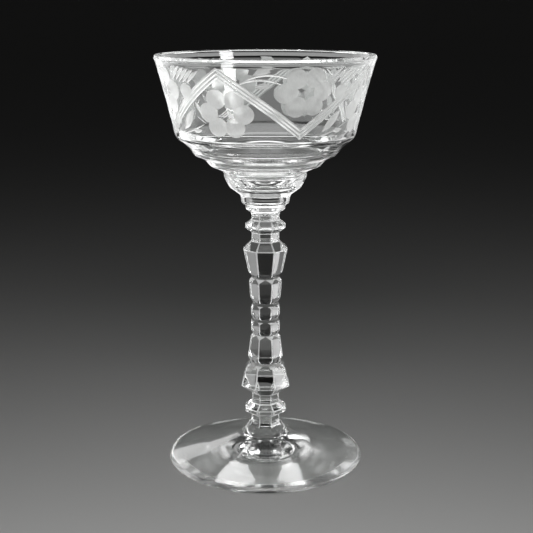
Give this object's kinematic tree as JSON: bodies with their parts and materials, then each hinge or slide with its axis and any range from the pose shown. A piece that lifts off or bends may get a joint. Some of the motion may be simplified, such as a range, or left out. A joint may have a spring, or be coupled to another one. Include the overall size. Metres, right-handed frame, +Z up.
{
  "type": "champagne coupe glass",
  "caption": "Stemmed champagne glass: flared cut bowl over two rounded steps, octagonal beaded stem and round foot.",
  "frame": {"origin": "on the axis, in the plane of the ring under the foot, which is the surface the glass stands on", "axes": "+Z up along the stem to the lip; -Y faces the viewer, with one flat of the stem facing that way"},
  "size_m": [0.0782, 0.0782, 0.15],
  "materials": {
    "cut_glass": "clear, with matt wheel-cut decoration on the outside of the wall",
    "clear_glass": "clear, fire-polished"
  },
  "bodies": {
    "root": {"bowl": "cut_glass", "bowl_collar": "clear_glass", "stem": "clear_glass", "foot": "clear_glass"}
  },
  "joints": []
}
